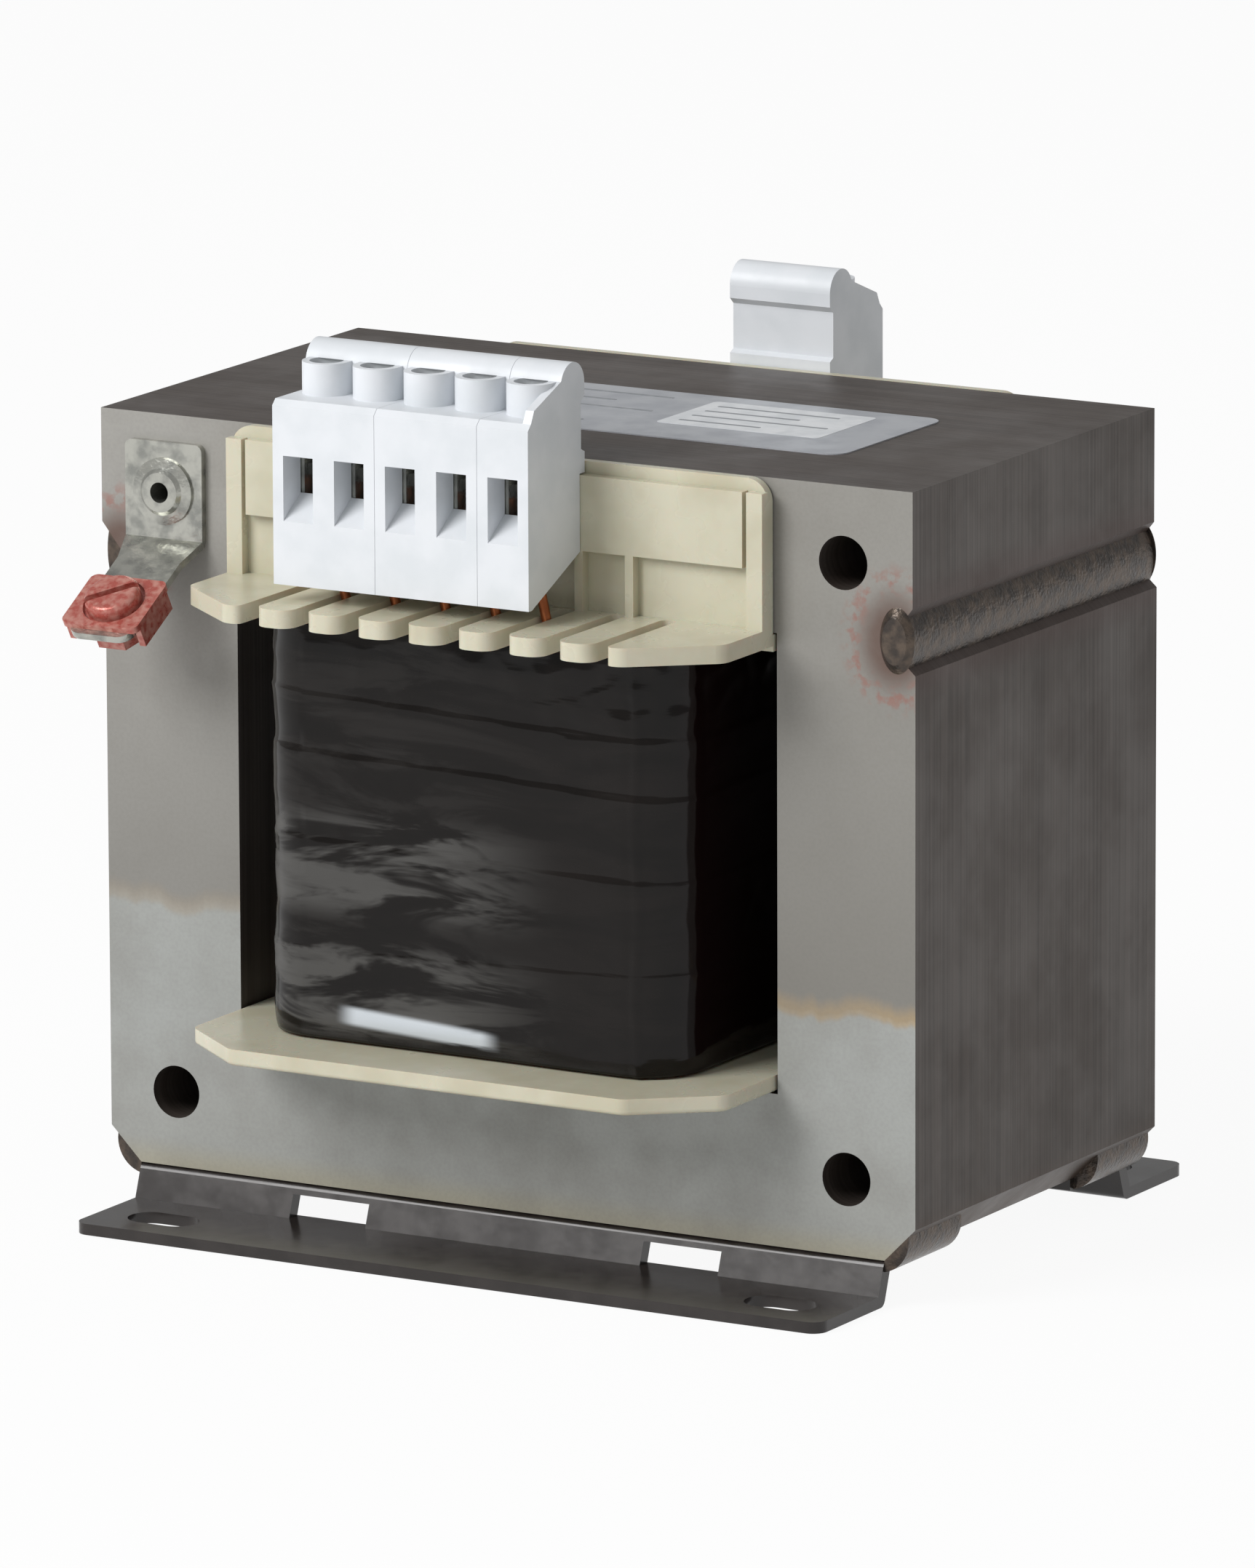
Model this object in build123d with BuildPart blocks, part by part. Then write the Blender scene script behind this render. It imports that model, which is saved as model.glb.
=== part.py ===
"""Laminated chassis transformer, in millimetres.

The frame has +Z up. Its origin is the centre of the mounting slots, on the surface that the feet stand on.
X runs along the core's width, and the side with the longer terminal block faces -Y.
"""

from math import cos, radians, sin
import os

from build123d import *

os.makedirs("parts", exist_ok=True)

# Laminated core: an E stack with its limbs up, closed by an I stack
centre_limb = 40.0
side_limb = 20.0
window_width = 20.0
window_height = 60.0
yoke_height = 20.0
core_depth = 65.0
core_hole = 7.0
core_hole_inset = 10.0
core_foot_chamfer = 4.5
yoke_shift = 0.4

# Weld that joins the two stacks, in a groove along each side
joint_groove_depth = 4.0
joint_groove_below = 3.6
joint_groove_above = 5.0
joint_fill = 0.75
joint_crown_inset = 0.4
joint_bead_inset = 2.6
joint_bead_overrun = 0.9
joint_drop_width = 5.0
joint_drop_height = 8.6
joint_drop_crown = 0.7

# Feet: two strips of folded steel, welded under the core
foot_sheet = 1.5
foot_height = 6.0
foot_length = 111.0
foot_grip = 15.0
foot_reach = 17.0
foot_bend = 1.2
foot_corner = 2.0
foot_lean = 1.6
slot_length = 10.0
slot_width = 5.8
slot_spacing = 92.0
slot_edge = 7.0
foot_window_width = 11.5
foot_window_spacing = 52.5
foot_weld_length = 14.0
foot_weld_bulge = 1.1

# Bobbin
limb_clearance = 0.3
tube_wall = 1.5
tube_corner = 1.0
flange_sheet = 2.2
flange_side_gap = 0.4
flange_yoke_gap = 0.2
flange_reach = 21.0
flange_corner_width = 10.5
flange_corner_depth = 8.4
flange_corner_round = 2.5
flange_edge_round = 0.6
comb_sheet = 2.4
comb_rise = 0.7
comb_pitch = 7.4
comb_fingers = 7
comb_slot = 2.2
comb_root = 3.4
comb_tip_round = 2.0
comb_end_round = 1.0
panel_gap = 0.3
panel_sheet = 1.3
panel_corner = 3.0
panel_edge_width = 2.3
rib_width = 1.2
rail_proud = 1.5
rail_height = 9.8
rail_drop = 1.6
rail_end_gap = 2.9

# Coil
layer_gap = 0.05
inner_build = 4.0
outer_build = 4.0
insulation_build = 0.5
wrap_build = 0.9
winding_corner = 2.0
coil_end_gap = 0.3

# Terminal blocks
pole_pitch = 7.55
terminal_left = -24.6
rear_terminal_centre = 3.0
terminal_depth = 13.0
terminal_rail_gap = 0.1
terminal_wall_height = 24.0
terminal_slant = 5.5
terminal_above_core = 7.0
terminal_bevel = 0.8
hook_reach = 1.3
hook_height = 2.7
hook_rail_gap = 0.2
groove_depth = 0.9
hump_width = 6.0
hump_rise = 6.3
tower_rise = 4.2
tower_radius = 3.15
tower_bore = 4.4
end_wall = 1.2
module_gap = 0.06
entry_width = 4.4
entry_height = 8.5
entry_ramp = 3.0
entry_depth = 4.3
entry_top_drop = 7.2
chamber_depth = 6.0
chamber_width = 5.3
chamber_above = 1.3
chamber_below = 3.6
lead_bore = 2.2

# Clamp cages and their screws
cage_clearance = 0.15
cage_wall_side = 0.8
cage_wall_top = 1.6
cage_wall_bottom = 1.4
screw_diameter = 3.0
screw_head_diameter = 4.0
screw_head_height = 2.2
screw_head_sink = 1.4
screw_slot_width = 0.7
screw_slot_depth = 1.0

# Winding leads
lead_diameter = 1.3
lead_bend = 2.0
front_lead_depth = 8.0
rear_lead_depth = 4.2
lead_rise = 1.2
lead_end_height = 3.4
lead_straight = 0.8

# Protective earth strap, its rivet and its clamp
strap_sheet = 1.0
strap_width = 11.6
strap_above = 6.5
strap_below = 6.2
tab_width = 9.4
tab_length = 19.5
tab_slope = 30.0
tab_corner = 2.0
rivet_clearance = 0.05
rivet_bore = 2.7
rivet_flange = 8.8
rivet_flange_height = 1.1
rivet_ring = 5.2
rivet_length = 9.0
clamp_sheet = 0.9
clamp_length = 9.6
clamp_skirt = 2.8
clamp_gap = 0.1
clamp_dish = 0.5
clamp_tip_gap = 0.9
earth_thread = 4.0
earth_thread_gap = 0.1
earth_head_diameter = 7.4
earth_head_height = 2.2
earth_nut_width = 7.0
earth_nut_height = 3.2

# Sizes that follow from those above
core_width = centre_limb + 2 * (window_width + side_limb)
limb_height = yoke_height + window_height
core_height = limb_height + yoke_height
core_base = foot_height
joint_height = core_base + limb_height
core_top = core_base + core_height
front = core_depth / 2
hole_reach = core_width / 2 - core_hole_inset
slot_reach = front + foot_reach - slot_edge
core_back_plane = Plane.XZ.offset(-core_depth / 2)

tube_inner_width = centre_limb + 2 * limb_clearance
tube_inner_depth = core_depth + 2 * limb_clearance
tube_width = tube_inner_width + 2 * tube_wall
tube_depth = tube_inner_depth + 2 * tube_wall
flange_width = centre_limb + 2 * window_width - 2 * flange_side_gap
flange_depth = core_depth + 2 * flange_reach
lower_flange = core_base + yoke_height + flange_yoke_gap
upper_flange = joint_height - flange_yoke_gap - flange_sheet
comb_bottom = upper_flange + comb_rise
comb_top = comb_bottom + comb_sheet
panel_face = panel_gap + panel_sheet
rail_face = panel_face + rail_proud
rail_top = core_top - rail_drop
rail_bottom = rail_top - rail_height

coil_bottom = lower_flange + flange_sheet + coil_end_gap
coil_top = upper_flange - coil_end_gap
coil_height = coil_top - coil_bottom

terminal_back = rail_face + terminal_rail_gap
terminal_face = terminal_back + terminal_depth
terminal_ledge = core_top + terminal_above_core
terminal_foot = terminal_ledge - terminal_wall_height
entry_top = terminal_ledge - entry_top_drop
entry_bottom = entry_top - entry_height
chamber_front = terminal_face - entry_depth
chamber_back = chamber_front - chamber_depth
chamber_middle = (chamber_front + chamber_back) / 2
chamber_top = entry_top + chamber_above
chamber_bottom = entry_bottom + entry_ramp - chamber_below
tower_top = terminal_ledge + tower_rise
cage_width = chamber_width - 2 * cage_clearance
cage_depth = chamber_depth - 2 * cage_clearance
cage_bottom = chamber_bottom + cage_clearance
cage_top = chamber_top - cage_clearance


def save(solid, name):
    """Label a finished sub-part and write it."""
    solid.label = name
    export_step(solid, f"parts/{name}.step")


# Core

with BuildSketch() as e_outline:
    with BuildLine():
        Polyline(
            (-core_width / 2 + core_foot_chamfer, core_base),
            (core_width / 2 - core_foot_chamfer, core_base),
            (core_width / 2, core_base + core_foot_chamfer),
            (core_width / 2, joint_height - joint_groove_below),
            (core_width / 2 - joint_groove_depth, joint_height),
            (-core_width / 2 + joint_groove_depth, joint_height),
            (-core_width / 2, joint_height - joint_groove_below),
            (-core_width / 2, core_base + core_foot_chamfer),
            close=True,
        )
    make_face()
    with Locations((0, core_base + yoke_height + window_height / 2)):
        with GridLocations(centre_limb + window_width, 0, 2, 1):
            Rectangle(window_width, window_height, mode=Mode.SUBTRACT)
    with Locations((0, core_base + core_hole_inset)):
        with GridLocations(2 * hole_reach, 0, 2, 1):
            Circle(core_hole / 2, mode=Mode.SUBTRACT)

with BuildPart() as e_stack:
    with BuildSketch(core_back_plane):
        add(e_outline.sketch)
    extrude(amount=core_depth)

with BuildSketch() as i_outline:
    with BuildLine():
        Polyline(
            (-yoke_shift - core_width / 2 + joint_groove_depth, joint_height),
            (-yoke_shift + core_width / 2 - joint_groove_depth, joint_height),
            (-yoke_shift + core_width / 2, joint_height + joint_groove_above),
            (-yoke_shift + core_width / 2, core_top),
            (-yoke_shift - core_width / 2, core_top),
            (-yoke_shift - core_width / 2, joint_height + joint_groove_above),
            close=True,
        )
    make_face()
    with Locations((-yoke_shift, core_top - core_hole_inset)):
        with GridLocations(2 * hole_reach, 0, 2, 1):
            Circle(core_hole / 2, mode=Mode.SUBTRACT)

with BuildPart() as i_stack:
    with BuildSketch(core_back_plane):
        add(i_outline.sketch)
    extrude(amount=core_depth)

save(e_stack.part, "core_e_stack")
save(i_stack.part, "core_i_stack")


# Welds along the joint of the two stacks

def joint_weld(side, drop_ends):
    """A bead that fills the groove on the side of sign `side`, with a drop at the faces in `drop_ends`."""
    bead_x = side * (core_width / 2 - joint_bead_inset)
    bead_z = joint_height + (joint_groove_above - joint_groove_below) / 2
    root_e = side * (core_width / 2 - joint_groove_depth)
    root_i = root_e - yoke_shift
    reach = side * joint_groove_depth * joint_fill
    toe_e = (root_e + reach, joint_height - joint_groove_below * joint_fill)
    toe_i = (root_i + reach, joint_height + joint_groove_above * joint_fill)
    crown = (side * (core_width / 2 - joint_crown_inset), bead_z)
    with BuildPart() as bead:
        with BuildSketch(core_back_plane):
            with BuildLine():
                Line((root_i, joint_height), toe_i)
                ThreePointArc(toe_i, crown, toe_e)
                Polyline(toe_e, (root_e, joint_height), (root_i, joint_height))
            make_face()
        extrude(amount=core_depth)
        for end in drop_ends:
            drop_plane = Plane(origin=(bead_x, end * front, bead_z), x_dir=(-end, 0, 0), z_dir=(0, end, 0))
            with BuildSketch(drop_plane):
                Ellipse(joint_drop_width / 2, joint_drop_height / 2)
            with BuildSketch(drop_plane.offset(joint_bead_overrun)):
                Ellipse(joint_drop_width * joint_drop_crown / 2, joint_drop_height * joint_drop_crown / 2)
            loft()
    return bead.part


save(joint_weld(-1, (1,)), "joint_weld_left")
save(joint_weld(1, (-1, 1)), "joint_weld_right")


# Feet

def foot(side):
    """A folded strip: a grip under the core, a leaning web, and a flange with two slots."""
    grip_y = side * (front - foot_grip)
    top_y = side * front
    low_y = side * (front + foot_lean)
    edge_y = side * (front + foot_reach)
    with BuildPart() as strip:
        with BuildSketch(Plane.YZ):
            with BuildLine():
                Polyline(
                    (grip_y, foot_height - foot_sheet),
                    (top_y - side * foot_sheet, foot_height - foot_sheet),
                    (low_y - side * foot_sheet, 0),
                    (edge_y, 0),
                    (edge_y, foot_sheet),
                    (low_y, foot_sheet),
                    (top_y, foot_height),
                    (grip_y, foot_height),
                    close=True,
                )
            make_face()
        extrude(amount=foot_length / 2, both=True)
        long_edges = strip.edges().filter_by(Axis.X)
        crest = long_edges.filter_by_position(Axis.Y, *sorted((top_y - side * 0.1, top_y + side * 0.1)))
        heel_y = low_y - side * foot_sheet
        heel = long_edges.filter_by_position(Axis.Y, *sorted((heel_y - side * 0.1, heel_y + side * 0.1)))
        fillet(crest + heel, foot_bend)
        flange_ends = strip.edges().filter_by(Axis.Z).sort_by(Axis.Y)
        corners = flange_ends[-2:] if side > 0 else flange_ends[:2]
        fillet(corners, foot_corner)
        with BuildSketch(Plane.XY):
            with Locations((0, side * slot_reach)):
                with GridLocations(slot_spacing, 0, 2, 1):
                    SlotOverall(slot_length, slot_width)
        extrude(amount=foot_sheet, mode=Mode.SUBTRACT)
        with BuildSketch(Plane.XZ.offset(-side * front)):
            with Locations((0, foot_height / 2)):
                with GridLocations(foot_window_spacing, 0, 2, 1):
                    Rectangle(foot_window_width, foot_height - 2 * foot_sheet)
        extrude(amount=foot_sheet + foot_lean, both=True, mode=Mode.SUBTRACT)
    return strip.part


for side, name in ((-1, "foot_front"), (1, "foot_rear")):
    save(foot(side), name)


# Weld beads at the four ends of the feet

with BuildPart() as foot_welds:
    for side_x in (-1, 1):
        inner_x = side_x * foot_length / 2
        for side_y in (-1, 1):
            bead_start = Plane.XZ.offset(-side_y * (front - foot_weld_length))
            with BuildSketch(bead_start):
                with BuildLine():
                    low = (inner_x, core_base - foot_sheet)
                    high = (side_x * (core_width / 2 - 1), core_base + core_foot_chamfer - 1)
                    middle_x = (low[0] + high[0]) / 2 + side_x * foot_weld_bulge
                    middle_z = (low[1] + high[1]) / 2 - foot_weld_bulge / 2
                    ThreePointArc(low, (middle_x, middle_z), high)
                    Line(high, (side_x * (core_width / 2 - core_foot_chamfer), core_base))
                    if abs(inner_x) != core_width / 2 - core_foot_chamfer:
                        Line((side_x * (core_width / 2 - core_foot_chamfer), core_base), (inner_x, core_base))
                    Line((inner_x, core_base), low)
                make_face()
            extrude(amount=-side_y * foot_weld_length)

save(foot_welds.part, "foot_welds")


# Bobbin

def flange_outline():
    """Outline of both flanges: a rectangle as wide as the window, with its corners cut off and rounded."""
    half_width = flange_width / 2
    half_depth = flange_depth / 2
    with BuildSketch() as outline:
        with BuildLine():
            Polyline(
                (-half_width + flange_corner_width, -half_depth),
                (half_width - flange_corner_width, -half_depth),
                (half_width, -half_depth + flange_corner_depth),
                (half_width, half_depth - flange_corner_depth),
                (half_width - flange_corner_width, half_depth),
                (-half_width + flange_corner_width, half_depth),
                (-half_width, half_depth - flange_corner_depth),
                (-half_width, -half_depth + flange_corner_depth),
                close=True,
            )
        make_face()
        fillet(outline.vertices(), flange_corner_round)
    return outline.sketch


finger_places = [comb_pitch * (k - (comb_fingers - 1) / 2) for k in range(comb_fingers)]
comb_slots = [comb_pitch * (k - comb_fingers / 2) for k in range(comb_fingers + 1)]

with BuildPart() as bobbin:
    with BuildSketch(Plane.XY.offset(lower_flange)):
        RectangleRounded(tube_width, tube_depth, tube_corner)
    extrude(amount=upper_flange + flange_sheet - lower_flange)
    with BuildSketch(Plane.XY.offset(lower_flange)):
        add(flange_outline())
    extrude(amount=flange_sheet)
    rim = bobbin.edges().group_by(Axis.Z)[0]
    fillet(rim, flange_edge_round)
    with BuildSketch(Plane.XY.offset(upper_flange)):
        Rectangle(flange_width, core_depth + 2 * panel_gap)
    extrude(amount=flange_sheet)
    for side in (-1, 1):
        with BuildSketch(Plane.XY.offset(comb_bottom)) as comb_outline:
            add(flange_outline())
            Rectangle(core_width, core_depth + 2 * panel_gap, mode=Mode.SUBTRACT)
            with Locations((0, -side * flange_depth / 2)):
                Rectangle(core_width, flange_depth, mode=Mode.SUBTRACT)
            slot_depth = flange_reach - comb_root
            with Locations((0, side * (front + comb_root + slot_depth / 2 + comb_slot / 4))):
                with GridLocations(comb_pitch, 0, comb_fingers + 1, 1):
                    SlotOverall(slot_depth + comb_slot * 1.5, comb_slot, rotation=90, mode=Mode.SUBTRACT)
            tips = comb_outline.vertices().group_by(Axis.Y)[-1 if side > 0 else 0]
            outer_slot = comb_pitch * comb_fingers / 2
            fillet([tip for tip in tips if abs(tip.X) < outer_slot], comb_tip_round)
            ends = comb_outline.vertices().group_by(Axis.Y)[-1 if side > 0 else 0]
            fillet([tip for tip in ends if outer_slot < abs(tip.X) < outer_slot + comb_slot], comb_end_round)
        extrude(amount=comb_sheet)
        panel_plane = Plane.XZ.offset(-side * (front + panel_gap))
        with BuildSketch(panel_plane) as panel_outline:
            with Locations((0, (comb_bottom + core_top) / 2)):
                Rectangle(flange_width, core_top - comb_bottom)
            fillet(panel_outline.vertices().group_by(Axis.Y)[-1], panel_corner)
        extrude(amount=-side * panel_sheet)
        face_plane = Plane.XZ.offset(-side * (front + panel_face))
        edge_x = flange_width / 2 - panel_edge_width / 2
        with BuildSketch(face_plane):
            with Locations((0, (rail_bottom + rail_top) / 2)):
                Rectangle(flange_width - 2 * rail_end_gap, rail_height)
        extrude(amount=-side * rail_proud)
        with BuildSketch(face_plane) as ribs:
            with Locations(*[(x - comb_pitch / 2 + comb_slot / 2 + rib_width / 2, (comb_top + rail_bottom) / 2)
                             for x in finger_places]):
                Rectangle(rib_width, rail_bottom - comb_top)
            with Locations((-edge_x, (comb_top + rail_top) / 2), (edge_x, (comb_top + rail_top) / 2)):
                Rectangle(panel_edge_width, rail_top - comb_top)
        extrude(amount=-side * rail_proud)
    with BuildSketch(Plane.XY.offset(lower_flange)):
        Rectangle(tube_inner_width, tube_inner_depth)
    extrude(amount=upper_flange + flange_sheet - lower_flange, mode=Mode.SUBTRACT)

save(bobbin.part, "bobbin")


# Coil: inner winding, insulation, outer winding and the outer wrap

def coil_layer(inner_offset, build):
    """A closed ring around the bobbin's tube, `inner_offset` outside it and `build` thick."""
    outer_offset = inner_offset + build
    with BuildPart() as layer:
        with BuildSketch(Plane.XY.offset(coil_bottom)):
            RectangleRounded(
                tube_width + 2 * outer_offset,
                tube_depth + 2 * outer_offset,
                tube_corner + outer_offset * winding_corner / (winding_corner + 1),
            )
            RectangleRounded(
                tube_width + 2 * inner_offset,
                tube_depth + 2 * inner_offset,
                tube_corner + inner_offset * winding_corner / (winding_corner + 1),
                mode=Mode.SUBTRACT,
            )
        extrude(amount=coil_height)
    return layer.part


coil_layers = (
    ("secondary_winding", inner_build),
    ("interlayer_insulation", insulation_build),
    ("primary_winding", outer_build),
    ("coil_wrap", wrap_build),
)
layer_offset = layer_gap
for name, build in coil_layers:
    save(coil_layer(layer_offset, build), name)
    layer_offset += build + layer_gap


# Terminal blocks

def terminal_block(side, start_x, poles, walled_end):
    """A moulded block of `poles` poles from `start_x`, hooked over the bobbin's rail.

    `walled_end` is the X at which the block carries a raised end wall, or None.
    """
    def out(distance):
        return side * (front + distance)

    width = poles * pole_pitch - module_gap
    middle_x = start_x + width / 2
    pole_places = [start_x + pole_pitch * (k + 0.5) - module_gap / 2 for k in range(poles)]
    hook_face = terminal_back - hook_reach
    hook_bottom = rail_top + hook_rail_gap
    hump_back = hook_face
    hump_front = hump_back + hump_width
    hump_top = terminal_ledge + hump_rise
    hump_centre = hump_top - hump_width / 2
    underside_back = terminal_foot + terminal_slant
    with BuildPart() as block:
        with BuildSketch(Plane.YZ.offset(start_x)):
            with BuildLine():
                Polyline(
                    (out(hump_back), hump_centre),
                    (out(hump_back), terminal_ledge + 2 * terminal_bevel),
                    (out(hump_back + groove_depth), terminal_ledge + terminal_bevel),
                    (out(hump_back + groove_depth), hook_bottom + hook_height + groove_depth / 2),
                    (out(hook_face), hook_bottom + hook_height),
                    (out(hook_face), hook_bottom),
                    (out(terminal_back), hook_bottom),
                    (out(terminal_back), underside_back),
                    (out(terminal_face - terminal_bevel), terminal_foot),
                    (out(terminal_face), terminal_foot),
                    (out(terminal_face), terminal_ledge - terminal_bevel),
                    (out(terminal_face - terminal_bevel), terminal_ledge),
                    (out(hump_front), terminal_ledge),
                    (out(hump_front), hump_centre),
                )
                ThreePointArc(
                    (out(hump_front), hump_centre),
                    (out(hump_back + hump_width / 2), hump_top),
                    (out(hump_back), hump_centre),
                )
            make_face()
        extrude(amount=width)
        with BuildSketch(Plane.XY.offset(terminal_ledge - terminal_bevel)):
            for x in pole_places:
                with Locations((x, out(chamber_middle))):
                    Circle(tower_radius)
                with Locations((x, out((hump_front + chamber_middle) / 2 - terminal_bevel))):
                    Rectangle(2 * tower_radius, chamber_middle - hump_front + 2 * terminal_bevel)
        extrude(amount=tower_rise + terminal_bevel)
        if walled_end:
            wall_start = start_x + width - end_wall if walled_end > 0 else start_x
            with BuildSketch(Plane.YZ.offset(wall_start)):
                with BuildLine():
                    Polyline(
                        (out(hump_front - terminal_bevel), terminal_ledge - terminal_bevel),
                        (out(hump_front - terminal_bevel), tower_top),
                        (out(hump_front), tower_top),
                        (out(terminal_face - 2 * terminal_bevel), terminal_ledge + 2 * terminal_bevel),
                        (out(terminal_face - terminal_bevel), terminal_ledge),
                        (out(terminal_face - terminal_bevel), terminal_ledge - terminal_bevel),
                        close=True,
                    )
                make_face()
            extrude(amount=end_wall)
        for x in pole_places:
            with BuildSketch(Plane.YZ.offset(x - entry_width / 2)):
                with BuildLine():
                    Polyline(
                        (out(terminal_face), entry_bottom),
                        (out(terminal_face), entry_top),
                        (out(chamber_front), entry_top),
                        (out(chamber_front), entry_bottom + entry_ramp),
                        close=True,
                    )
                make_face()
            extrude(amount=entry_width, mode=Mode.SUBTRACT)
            with BuildSketch(Plane.XY.offset(chamber_bottom)):
                with Locations((x, out(chamber_middle))):
                    Rectangle(chamber_width, chamber_depth)
            extrude(amount=chamber_top - chamber_bottom, mode=Mode.SUBTRACT)
            with BuildSketch(Plane.XY.offset(chamber_top)):
                with Locations((x, out(chamber_middle))):
                    Circle(tower_bore / 2)
            extrude(amount=tower_top - chamber_top, mode=Mode.SUBTRACT)
            with BuildSketch(Plane.XY.offset(terminal_foot)):
                with Locations((x, out(front_lead_depth))):
                    Circle(lead_bore / 2)
            extrude(amount=chamber_bottom - terminal_foot, mode=Mode.SUBTRACT)
    return block.part, pole_places


def clamp_cages(side, pole_places):
    """One steel cage for each pole, open along Y for the wire and tapped on top for the screw."""
    with BuildPart() as cages:
        for x in pole_places:
            with BuildSketch(Plane.XY.offset(cage_bottom)):
                with Locations((x, side * (front + chamber_middle))):
                    Rectangle(cage_width, cage_depth)
            extrude(amount=cage_top - cage_bottom)
            with BuildSketch(Plane.XZ.offset(-side * (front + chamber_back))):
                with Locations((x, (cage_bottom + cage_wall_bottom + cage_top - cage_wall_top) / 2)):
                    Rectangle(
                        cage_width - 2 * cage_wall_side,
                        cage_top - cage_wall_top - cage_bottom - cage_wall_bottom,
                    )
            extrude(amount=-side * chamber_depth, mode=Mode.SUBTRACT)
            with BuildSketch(Plane.XY.offset(cage_top - cage_wall_top)):
                with Locations((x, side * (front + chamber_middle))):
                    Circle(screw_diameter / 2 + layer_gap)
            extrude(amount=cage_wall_top, mode=Mode.SUBTRACT)
            with BuildSketch(Plane.XY.offset(cage_bottom)):
                with Locations((x, side * (front + front_lead_depth))):
                    Circle(lead_bore / 2)
            extrude(amount=cage_wall_bottom, mode=Mode.SUBTRACT)
    return cages.part


def clamp_screws(side, pole_places):
    """A slotted screw in each tower, with its thread through the cage's top."""
    head_top = tower_top - screw_head_sink
    head_bottom = head_top - screw_head_height
    shank_bottom = cage_top - 2 * cage_wall_top
    with BuildPart() as screws:
        for x in pole_places:
            centre = (x, side * (front + chamber_middle))
            with BuildSketch(Plane.XY.offset(head_bottom)):
                with Locations(centre):
                    Circle(screw_head_diameter / 2)
            extrude(amount=screw_head_height)
            with BuildSketch(Plane.XY.offset(shank_bottom)):
                with Locations(centre):
                    Circle(screw_diameter / 2)
            extrude(amount=head_bottom - shank_bottom)
            with BuildSketch(Plane.XY.offset(head_top - screw_slot_depth)):
                with Locations(centre):
                    Rectangle(screw_head_diameter, screw_slot_width, rotation=20)
            extrude(amount=screw_slot_depth, mode=Mode.SUBTRACT)
    return screws.part


def winding_leads(side, pole_places, start_depth):
    """A lead for each pole, up through the comb's nearest slot and into the block's underside."""
    start_z = coil_top
    end_z = cage_bottom + cage_wall_bottom + lead_end_height
    low_bend_z = comb_bottom + lead_rise
    high_bend_z = terminal_foot + terminal_slant - lead_rise
    with BuildPart() as leads:
        for x in pole_places:
            slot_x = min(comb_slots, key=lambda place: abs(place - x))
            start = Vector(slot_x, side * (front + start_depth), start_z)
            end = Vector(x, side * (front + front_lead_depth), end_z)
            across = Vector(end.X - start.X, end.Y - start.Y, 0)
            if across.length < lead_straight / 10:
                across_direction = Vector(1, 0, 0)
                run = 0
            else:
                across_direction = across.normalized()
                run = across.length
            lead_plane = Plane(
                origin=start, x_dir=across_direction, z_dir=across_direction.cross(Vector(0, 0, 1))
            )
            with BuildLine(lead_plane) as route:
                if run:
                    FilletPolyline(
                        (0, 0),
                        (0, low_bend_z - start_z),
                        (run, high_bend_z - start_z),
                        (run, end_z - start_z),
                        radius=lead_bend,
                    )
                else:
                    Line((0, 0), (0, end_z - start_z))
            with BuildSketch(Plane.XY.offset(start_z)):
                with Locations((start.X, start.Y)):
                    Circle(lead_diameter / 2)
            sweep(path=route.wires()[0])
    return leads.part


front_blocks = (
    ("terminal_block_front_left", 0, 2, None),
    ("terminal_block_front_middle", 2, 2, None),
    ("terminal_block_front_right", 4, 1, 1),
)
front_poles = []
for name, first_pole, poles, walled_end in front_blocks:
    block, places = terminal_block(-1, terminal_left + first_pole * pole_pitch, poles, walled_end)
    front_poles += places
    save(block, name)

rear_block, rear_poles = terminal_block(1, rear_terminal_centre - pole_pitch, 2, 1)
save(rear_block, "terminal_block_rear")

for side, poles, word, lead_depth in (
    (-1, front_poles, "front", front_lead_depth),
    (1, rear_poles, "rear", rear_lead_depth),
):
    save(clamp_cages(side, poles), f"clamp_cages_{word}")
    save(clamp_screws(side, poles), f"clamp_screws_{word}")
    save(winding_leads(side, poles, lead_depth), f"winding_leads_{word}")


# Protective earth strap at the front left hole

earth_x = -hole_reach - yoke_shift
earth_z = core_top - core_hole_inset
strap_fold = earth_z - strap_below
tab_angle = radians(tab_slope)
tab_out = Vector(0, -cos(tab_angle), -sin(tab_angle))
tab_up = Vector(0, -sin(tab_angle), cos(tab_angle))
fold_point = Vector(earth_x, -front - strap_sheet, strap_fold)


def tab_plane(along, above):
    """A plane on the tab, `along` from the fold and `above` its upper face."""
    return Plane(origin=fold_point + tab_out * along + tab_up * above, x_dir=(1, 0, 0), z_dir=tab_up)


tab_hole_along = tab_length - clamp_tip_gap - clamp_length / 2

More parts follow.
